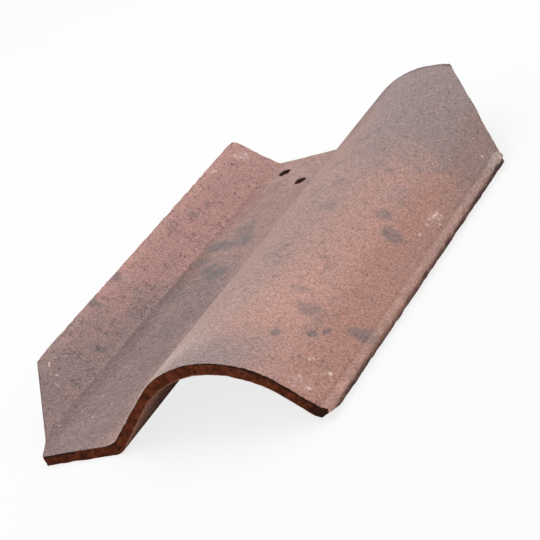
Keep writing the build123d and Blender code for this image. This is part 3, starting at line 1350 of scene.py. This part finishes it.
@dataclass(frozen=True)
class ChalkMarks:
    """Pale marks: scratched patches, crusts, single strokes and flecks."""

    crust: Colour = (0.450, 0.365, 0.330)
    scratches: MarkGroup = MarkGroup((
        Mark(338.0, 234.0, 9.0, 20.0, 0.4),
        Mark(327.0, 14.0, 14.0, 11.0, 0.5),
        Mark(342.0, 34.0, 6.0, 22.0, 0.4),
        Mark(15.0, 442.0, 11.0, 10.0, 0.6),
        Mark(10.0, 405.0, 8.0, 8.0, 1.3),
        Mark(9.0, 100.0, 9.0, 15.0, 0.4),
        Mark(4.0, 330.0, 5.0, 40.0, 0.5),
    ), 1.0, 0.45)
    scratch: Grain = Grain(170.0, 3.0, 0.7, 0.6, shift=(0.0, 11.3, 0.0), stretch=(1.0, 0.5, 1.0))
    scratch_line: Step = Step(0.045, 0.012)
    scratch_least: float = 0.05
    scratch_gaps: Patchy = Patchy(Grain(300.0), Step(0.42, 0.56))
    strokes: MarkGroup = MarkGroup((
        Mark(336.0, 248.5, 1.2, 6.1, 1.0, 0.08),
        Mark(340.0, 251.8, 2.4, 0.9, 0.6, 1.4),
        Mark(339.5, 246.6, 2.6, 1.1, 0.65, -1.2),
        Mark(342.5, 249.0, 1.6, 0.9, 0.45),
        Mark(334.0, 240.5, 1.2, 2.2, 0.65),
        Mark(343.3, 240.5, 1.2, 2.4, 0.58),
        Mark(335.5, 233.2, 2.4, 1.6, 0.43),
        Mark(335.0, 218.0, 1.2, 2.4, 0.58),
        Mark(323.6, 18.0, 1.8, 1.6, 1.0),
        Mark(339.0, 35.5, 1.7, 1.6, 1.0),
        Mark(321.5, 38.2, 1.2, 2.2, 0.72),
        Mark(324.5, 40.2, 2.2, 1.1, 0.58),
        Mark(334.0, 30.5, 0.9, 4.6, 0.42, 1.1),
        Mark(333.0, 12.2, 2.9, 1.5, 0.8),
        Mark(319.0, 8.5, 1.1, 2.9, 0.65, -0.5),
        Mark(323.5, 6.5, 1.1, 2.2, 0.58),
        Mark(11.6, 436.4, 0.8, 3.3, 1.0, -0.9),
        Mark(14.6, 436.4, 0.8, 3.9, 1.0, -0.9),
        Mark(19.8, 446.0, 1.2, 2.9, 0.94, -0.9),
        Mark(21.4, 441.3, 1.1, 2.6, 0.65, 0.4),
        Mark(18.6, 438.4, 2.9, 1.4, 0.87),
        Mark(17.0, 444.0, 1.1, 2.4, 0.58),
        Mark(10.8, 97.0, 1.2, 3.1, 0.85, -0.7),
        Mark(21.5, 90.6, 2.2, 1.2, 0.55),
        Mark(16.8, 88.6, 1.4, 1.8, 0.5),
        Mark(27.5, 81.2, 3.3, 0.9, 0.4),
        Mark(11.5, 107.5, 1.4, 1.8, 0.4),
        Mark(18.0, 441.0, 8.0, 9.0, 0.2),
        Mark(336.5, 247.0, 5.0, 9.0, 0.2),
        Mark(328.0, 13.0, 10.0, 8.0, 0.12),
    ), 1.25, 0.35)
    hand_across: Swing = Swing(260.0, 2.0)
    hand_along: Swing = Swing(310.0, 2.0)
    flecks: MarkGroup = MarkGroup((
        Mark(340.0, 345.0, 1.2, 1.2),
        Mark(353.0, 351.0, 1.6, 1.4, 0.8),
        Mark(354.0, 336.0, 1.4, 2.0, 0.7),
        Mark(354.5, 318.0, 1.0, 2.2, 0.6),
        Mark(62.0, 60.0, 0.9, 1.2, 0.5),
        Mark(80.0, 48.0, 0.9, 0.9, 0.6),
        Mark(50.0, 44.0, 0.9, 0.9, 0.6),
    ), 1.2, 0.6)
    crusts: MarkGroup = MarkGroup((
        Mark(351.0, 348.0, 6.5, 14.0, 0.95),
        Mark(12.0, 226.0, 6.0, 6.0, 0.5),
        Mark(244.0, 425.0, 2.4, 1.6, 0.5),
    ), 1.15, 0.6)
    crumbs: Patchy = Patchy(Grain(300.0, 3.0, 0.6), Step(0.34, 0.6, 0.15, 1.0))

    def over(self, canvas: Canvas, face: Field) -> Field:
        """Lays the pale marks over the face.

        Args:
            canvas: the clay's tree.
            face: the colour under them.

        Returns:
            The colour.
        """
        place, sheet = canvas.place, canvas.sheet
        patch = self.scratches.cover(canvas, sheet)
        line = canvas.ripple(place, self.scratch).size() / patch.at_least(self.scratch_least)
        scratch = line.step(self.scratch_line) * patch.at_most(1.0) * canvas.patchy(place, self.scratch_gaps)
        colour = canvas.mix(scratch, face, Clay.CHALK_AND_HIGHLIGHT)
        crust = self.crusts.cover(canvas, sheet) * canvas.patchy(place, self.crumbs)
        colour = canvas.mix(crust, colour, self.crust)
        hand = canvas.join(canvas.swing(place, self.hand_across), canvas.swing(place, self.hand_along))
        stroke = self.strokes.cover(canvas, canvas.vector("ADD", sheet, hand))
        colour = canvas.mix(stroke, colour, Clay.CHALK_AND_HIGHLIGHT)
        return canvas.mix(self.flecks.cover(canvas, sheet), colour, Clay.CHALK_AND_HIGHLIGHT)


@dataclass(frozen=True)
class Sand:
    """Fine dark and pale sand grains in a face."""

    tone: Patchy = Patchy(Grain(540.0, 4.0, 0.8), Step(0.26, 0.74, 0.6, 1.4))
    dark: Patchy = Patchy(Grain(240.0, 3.0, 0.6, shift=(9.0, 0.0, 0.0)), Step(0.60, 0.72, 0.0, 0.5))
    light: Patchy = Patchy(Grain(430.0, 2.0, 0.6, shift=(5.0, 0.0, 0.0)), Step(0.62, 0.74, 0.0, 0.3))

    def over(self, canvas: Canvas, face: Field) -> Field:
        """Strews the grains over the face.

        Args:
            canvas: the clay's tree.
            face: the colour under them.

        Returns:
            The colour.
        """
        tone, dark, light = (canvas.patchy(canvas.place, kind) for kind in (self.tone, self.dark, self.light))
        return canvas.mix(light, canvas.mix(dark, canvas.shade(face, tone), Clay.SOOT_AND_SHADE), Clay.CHALK_AND_HIGHLIGHT)


@dataclass(frozen=True)
class CutFace:
    """Raw clay on the cut faces, with a painted shadow line in places just under the top arris, and sooty
    towards the lip.
    """

    raw: Colour = (0.068, 0.0150, 0.0064)
    raw_light: Colour = (0.150, 0.0370, 0.0155)
    near_black: Colour = (0.014, 0.008, 0.007)
    tone: Patchy = Patchy(Grain(150.0, 5.0, 0.7), Step(0.35, 0.68))
    fine: Patchy = Patchy(Grain(380.0, 3.0, 0.7, shift=(4.0, 0.0, 0.0)), Step(0.3, 0.7, 0.62, 1.38))
    flank_light_mm: Step = Step(92.0, 128.0, 0.8, 1.0)
    # Painted shade: near-black in places just under the top arris, for the shadows of nicks and burrs, and all
    # along it on the roll's right side.
    rim: Patchy = Patchy(Grain(48.0, 4.0, 0.6), Step(0.42, 0.57))
    rim_across_mm: Step = Step(225.0, 265.0)
    rim_waver: Swing = Swing(130.0, 2.4, 3.0)
    rim_down_mm: Step = Step(-2.4, -0.6)
    soot_waver: Swing = Swing(40.0, 40.0, 3.0)
    soot_by_lip_mm: Step = Step(-26.0, -5.0)
    soot_and_shade: float = 0.8
    pits: Patchy = Patchy(Grain(260.0, 3.0, 0.6, shift=(2.0, 1.0, 0.0)), Step(0.60, 0.68))
    pit_dark: float = 0.8

    def colour(self, canvas: Canvas) -> tuple[Field, Field]:
        """Paints the cut faces.

        Args:
            canvas: the clay's tree.

        Returns:
            The colour, and where the pits are.
        """
        place, s = canvas.place, canvas.s
        colour = canvas.mix(canvas.patchy(place, self.tone), self.raw, self.raw_light)
        colour = canvas.shade(colour, canvas.patchy(place, self.fine) * s.step(self.flank_light_mm))
        # Painted shadow line under the top arris, and soot towards the lip.
        rim = canvas.patchy(place, self.rim).at_least(s.step(self.rim_across_mm))
        rim = (canvas.way + canvas.swing(place, self.rim_waver)).step(self.rim_down_mm) * rim
        sooty = (canvas.from_lip + canvas.swing(place, self.soot_waver)).step(self.soot_by_lip_mm)
        colour = canvas.mix(rim.at_least(sooty) * self.soot_and_shade, colour, self.near_black)
        pits = canvas.patchy(place, self.pits)
        return canvas.mix(pits * self.pit_dark, colour, self.near_black), pits


@dataclass(frozen=True)
class RolledEdge:
    """The two long edges, rolled and stained and with painted shade lower down, and the ragged line where the
    top face turns into an edge.
    """

    clay: Colour = (0.318, 0.172, 0.132)
    side_mm: Step = Step(3.2, 1.6)
    ragged: Swing = Swing(90.0, 1.2)
    fine_ragged: Swing = Swing(330.0, 1.4)
    wing_start_mm: float = 2.6
    lip_start_along_mm: Step = Step(13.0, 7.0, 0.2, 5.0)
    start_waver: Swing = Swing(70.0, 4.0, 4.0)
    tail_rim_mm: tuple[Step, Step] = (Step(115.0, 165.0, 2.2, 0.4), Step(262.0, 300.0, 0.4, 2.2))
    tail_rim_along_mm: Step = Step(10.0, 6.0)
    cut_line_mm: Step = Step(0.15, -0.45)
    lip_line_mm: Step = Step(1.0, -2.6)
    smoke: Grain = Grain(85.0, 4.0, 0.6)
    smoke_along_mm: Step = Step(190.0, 330.0, 0.0, 0.12)
    stain_and_shade: Step = Step(0.42, 0.62, 0.0, 0.75)
    # Painted shade: the rolled edges made darker towards their lower arris.
    shade_down_mm: Step = Step(-2.0, -6.5, 0.0, 0.45)
    cover: float = 0.9

    def over(self, canvas: Canvas, face: Field, cut: Field) -> tuple[Field, Field]:
        """Joins the face to the cut faces and the rolled edges.

        Args:
            canvas: the clay's tree.
            face: the colour of the top face.
            cut: the colour of the cut faces.

        Returns:
            The colour, and where the edges are.
        """
        place, s, y, way = canvas.place, canvas.s, canvas.y, canvas.way
        rolled = s.at_most(-canvas.from_lip).step(self.side_mm)
        at_lip = s.above(canvas.sheet_width / 2)
        start = canvas.blend(at_lip, self.wing_start_mm, y.step(self.lip_start_along_mm))
        ragged = way + canvas.swing(place, self.fine_ragged) + canvas.swing(place, self.ragged)
        ragged = ragged + rolled * (start + canvas.swing(place, self.start_waver))
        left, right = (s.step(step) for step in self.tail_rim_mm)
        ragged = ragged - left.at_least(right) * y.step(self.tail_rim_along_mm)
        on_edge = canvas.blend(rolled * at_lip, ragged.step(self.cut_line_mm), ragged.step(self.lip_line_mm))
        smoke = canvas.noise(place, self.smoke) + y.step(self.smoke_along_mm)
        # Soot stains, and painted shade lower down the edge.
        stain_and_shade = smoke.step(self.stain_and_shade) + way.step(self.shade_down_mm)
        clay = canvas.mix(stain_and_shade, self.clay, Clay.SOOT_AND_SHADE)
        return canvas.mix(on_edge, face, canvas.mix(rolled * self.cover, cut, clay)), on_edge


@dataclass(frozen=True)
class Underside:
    """Plain red clay on the underside, with drag lines along the tile."""

    clay: Colour = (0.340, 0.165, 0.118)
    dark: Colour = (0.235, 0.112, 0.084)
    lines: Patchy = Patchy(Grain(170.0, 4.0, 0.65, stretch=(1.0, 0.06, 1.0)), Step(0.36, 0.64))
    clouds: Patchy = Patchy(Grain(26.0, 4.0), Step(0.38, 0.66))
    waver: Swing = Swing(200.0, 1.2)
    start_mm: Step = Step(0.5, -0.4)

    def over(self, canvas: Canvas, colour: Field, sand: Sand) -> Field:
        """Paints the underside below the other faces.

        Args:
            canvas: the clay's tree.
            colour: the colour of the other faces.
            sand: the sand in the clay.

        Returns:
            The colour.
        """
        place = canvas.place
        share = (canvas.patchy(place, self.lines) + canvas.patchy(place, self.clouds)) / 2
        below = sand.over(canvas, canvas.mix(share, self.clay, self.dark))
        height = canvas.height + canvas.swing(place, self.waver)
        return canvas.mix(height.step(self.start_mm), colour, below)


@dataclass(frozen=True)
class ClayFinish:
    """Sanded, kiln-flashed clay: salmon where the flame missed it, mauve grey where it was flashed, with
    painted shade and highlights in places.
    """

    section: Section
    holes: tuple[Mark, ...]
    flash: KilnFlashAndPaintedLight = KilnFlashAndPaintedLight()
    smoke: SmokeSpots = SmokeSpots()
    lines: FormedLinesAndPaintedLight = FormedLinesAndPaintedLight()
    chalk: ChalkMarks = ChalkMarks()
    sand: Sand = Sand()
    cut: CutFace = CutFace()
    edge: RolledEdge = RolledEdge()
    underside: Underside = Underside()
    # Painted shade: soot colour along the mitre's rim at the tail, where the rounded arris turns from the
    # light.
    mitre: Layer = Layer(
        Clay.SOOT_AND_SHADE, (Step(56.0, 50.0),), (Step(100.0, 88.0),),
        Patchy(Grain(60.0, 3.0), Step(0.35, 0.55, 0.3, 1.0)))
    mitre_shade_mm: Step = Step(5.5, 0.5, 0.0, 0.75)
    # Painted shade: dark brown on the walls of the nail holes.
    hole: Colour = (0.085, 0.050, 0.040)
    hole_fade: Point = (1.03, 0.98)
    bumps_mm: tuple[tuple[float, Grain], ...] = (
        (0.42, Grain(560.0, 3.0, 0.7)),
        (0.7, Grain(210.0, 3.0, 0.6)),
        (0.3, Grain(120.0, stretch=(1.0, 0.3, 1.0))),
    )
    wrinkle_mm: float = 0.4
    pit_mm: float = 0.8
    roughness: float = 0.88
    uneven: Swing = Swing(300.0, 0.2)
    specular: float = 0.05

    def material(self) -> bpy.types.Material:
        """Builds the material.

        Returns:
            The clay.
        """
        clay = bpy.data.materials.new("kiln_flashed_clay")
        clay.use_nodes = True
        clay.node_tree.nodes.clear()
        canvas = Canvas(clay.node_tree, self.section)
        place = canvas.place
        face = self.lines.over(canvas, self.smoke.over(canvas, self.flash.colour(canvas)))
        face, wrinkle = self.lines.wrinkled(canvas, face)
        face = self.sand.over(canvas, self.chalk.over(canvas, face))
        # Painted shade along the mitre's rim.
        rim = self.mitre.share(canvas, canvas.s, canvas.y) * canvas.way.step(self.mitre_shade_mm)
        face = canvas.mix(rim, face, self.mitre.colour)
        cut, pits = self.cut.colour(canvas)
        colour, on_edge = self.edge.over(canvas, face, cut)
        colour = self.underside.over(canvas, colour, self.sand)
        # Painted shade in the nail holes.
        holes = MarkGroup(self.holes, *self.hole_fade).cover(canvas, canvas.sheet)
        colour = canvas.mix(holes, colour, self.hole)

        height = sum(canvas.noise(place, grain) * (depth * MM) for depth, grain in self.bumps_mm)
        height = height - wrinkle * (self.wrinkle_mm * MM) - pits * on_edge * (self.pit_mm * MM)
        bump = canvas.out("ShaderNodeBump", {"Height": height, "Strength": 1.0, "Distance": 1.0})
        shader = canvas.out("ShaderNodeBsdfPrincipled", {
            "Base Color": colour, "Roughness": canvas.swing(place, self.uneven) + self.roughness,
            "Normal": bump, "Specular IOR Level": self.specular})
        canvas.add("ShaderNodeOutputMaterial", {"Surface": shader})
        return clay


@dataclass(frozen=True)
class Studio:
    """Pale floor, soft light, and the camera at the photograph's angle."""

    camera_at: Triple = (0.92883, -1.24367, 0.59653)
    camera_forward: Triple = (-0.5645, 0.7471, -0.3510)
    camera_up: Triple = (0.1729, 0.5228, 0.8348)
    camera_range: Point = (0.05, 50.0)
    sensor_mm: float = 36.0
    lens_px: float = 2092.0
    frame_px: float = 540.0
    white: Colour = (1.0, 1.0, 1.0)
    floor_half: float = 6.0
    floor_paint: Colour = (0.86, 0.86, 0.86)
    floor_white: float = 0.8
    key_at: Triple = (-0.5, 0.3, 1.8)
    key_size: float = 1.8
    key_watts: float = 15.0
    room_light: float = 0.77

    def build(self) -> None:
        """Makes the camera, the floor, the lamp and the world."""
        self.camera()
        self.floor()
        self.lamp()
        self.world()

    @staticmethod
    def put(name: str, data: bpy.types.ID) -> bpy.types.Object:
        """Puts a camera, a lamp or a mesh into the scene.

        Args:
            name: the object's name.
            data: what it holds.

        Returns:
            The object.
        """
        thing = bpy.data.objects.new(name, data)
        bpy.context.scene.collection.objects.link(thing)
        return thing

    def camera(self) -> None:
        """Puts the camera where the photograph was taken from."""
        data = bpy.data.cameras.new("photo_camera")
        data.sensor_width = self.sensor_mm
        data.lens = data.sensor_width * self.lens_px / self.frame_px
        data.clip_start, data.clip_end = self.camera_range
        camera = self.put("photo_camera", data)
        ahead = Vector(self.camera_forward).normalized()
        right = ahead.cross(Vector(self.camera_up)).normalized()
        turn = Matrix((right, right.cross(ahead), -ahead)).transposed().to_4x4()
        camera.matrix_world = Matrix.Translation(self.camera_at) @ turn
        bpy.context.scene.camera = camera

    def floor(self) -> None:
        """Lays a wide pale floor under the tile."""
        half = self.floor_half
        mesh = bpy.data.meshes.new("floor")
        square = [(-half, -half, 0), (half, -half, 0), (half, half, 0), (-half, half, 0)]
        mesh.from_pydata(square, [], [(0, 1, 2, 3)])
        floor = self.put("floor", mesh)
        paint = bpy.data.materials.new("pale_floor")
        paint.use_nodes = True
        paint.node_tree.nodes.clear()
        tree = Tree(paint.node_tree)
        matt = tree.out("ShaderNodeBsdfDiffuse", {"Color": self.floor_paint})
        white = tree.out("ShaderNodeEmission", {"Color": self.white, "Strength": 1.0})
        both = tree.out("ShaderNodeMixShader", {0: self.seen(tree) * self.floor_white, 1: matt, 2: white})
        tree.add("ShaderNodeOutputMaterial", {"Surface": both})
        mesh.materials.append(paint)

    @staticmethod
    def seen(tree: Tree) -> Field:
        """Where a ray from the camera arrives, straight or by way of a mirror or glass.

        Args:
            tree: the tree to build in.

        Returns:
            1 for such a ray, and 0 for the light that falls on the tile.
        """
        path = tree.add("ShaderNodeLightPath")
        straight, mirrored, bent = (
            Field(tree, path.outputs[f"Is {kind} Ray"]) for kind in ("Camera", "Glossy", "Transmission"))
        return straight.at_least(mirrored.at_least(bent))

    def lamp(self) -> None:
        """Hangs a large soft key lamp over the tile."""
        data = bpy.data.lights.new("key", "AREA")
        data.size, data.energy = self.key_size, self.key_watts
        lamp = self.put("key", data)
        lamp.location = self.key_at
        lamp.rotation_mode = "QUATERNION"
        lamp.rotation_quaternion = (-Vector(self.key_at)).to_track_quat("-Z", "Y")

    def world(self) -> None:
        """Fills the room with even light and shows white behind the tile."""
        world = bpy.data.worlds.new("studio")
        bpy.context.scene.world = world
        world.use_nodes = True
        world.node_tree.nodes.clear()
        tree = Tree(world.node_tree)
        strength = self.seen(tree).step(Step(0.0, 1.0, self.room_light, 1.0))
        back = tree.out("ShaderNodeBackground", {"Color": self.white, "Strength": strength})
        tree.add("ShaderNodeOutputWorld", {"Surface": back})
        bpy.context.scene.view_settings.view_transform = "Standard"


def corners(box: tuple[Vector, Vector]) -> list[list[float]]:
    """A box's lowest and highest corner, as plain lists."""
    return [list(box[0]), list(box[1])]


def main() -> None:
    """Builds the tile and the studio."""
    logging.basicConfig(level=logging.INFO, format="%(name)s: %(message)s")
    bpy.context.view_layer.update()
    sheet = TileSheet()
    clay = ClayFinish(sheet.section, sheet.hole_marks()).material()
    tile = sheet.build(clay)
    LOG.info("%s: %d faces", tile.name, len(tile.data.polygons))
    Studio().build()


if __name__ == "__main__":
    main()
